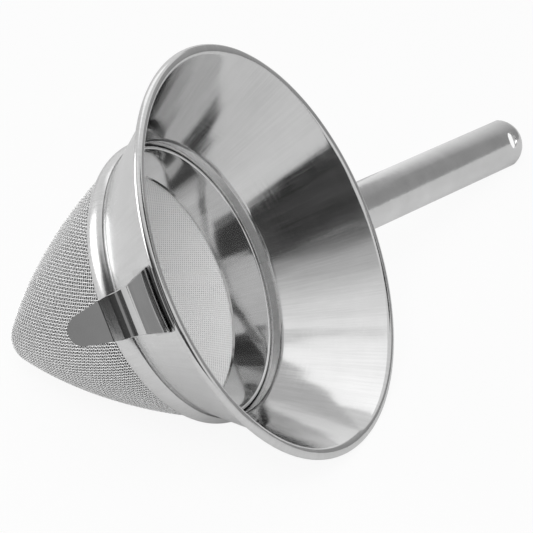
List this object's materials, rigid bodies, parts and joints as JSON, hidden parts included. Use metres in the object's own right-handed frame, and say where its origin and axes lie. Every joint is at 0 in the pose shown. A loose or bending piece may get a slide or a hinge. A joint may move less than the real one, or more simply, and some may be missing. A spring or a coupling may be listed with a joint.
{
  "type": "chinois strainer",
  "caption": "Fine conical kitchen strainer: a flared steel bowl with a rolled rim, a woven wire cone clamped below it, a half-round handle and a pot hook.",
  "frame": {"origin": "centre of the round mouth, at the height of the rolled rim's middle", "axes": "+Z along the cone's axis out of the mouth, -X along the handle, +X through the pot hook"},
  "size_m": [0.4475, 0.2, 0.1556],
  "materials": {
    "polished_steel": "polished stainless steel sheet, mirror-like inside and softly brushed outside",
    "fine_wire_cloth": "fine woven stainless wire",
    "coarse_wire_cloth": "coarser woven stainless wire",
    "satin_steel": "satin stainless steel sheet, brushed along its length",
    "polished_strap": "polished stainless steel strap"
  },
  "bodies": {
    "root": {"bowl": "polished_steel", "rim_wire": "polished_steel", "inner_collar": "polished_steel", "clamp_band": "polished_steel", "filter_mesh": "fine_wire_cloth", "support_mesh": "coarse_wire_cloth", "handle": "satin_steel", "handle_spot_welds": "satin_steel", "pot_hook": "polished_strap", "hook_spot_welds": "polished_strap"}
  },
  "joints": []
}
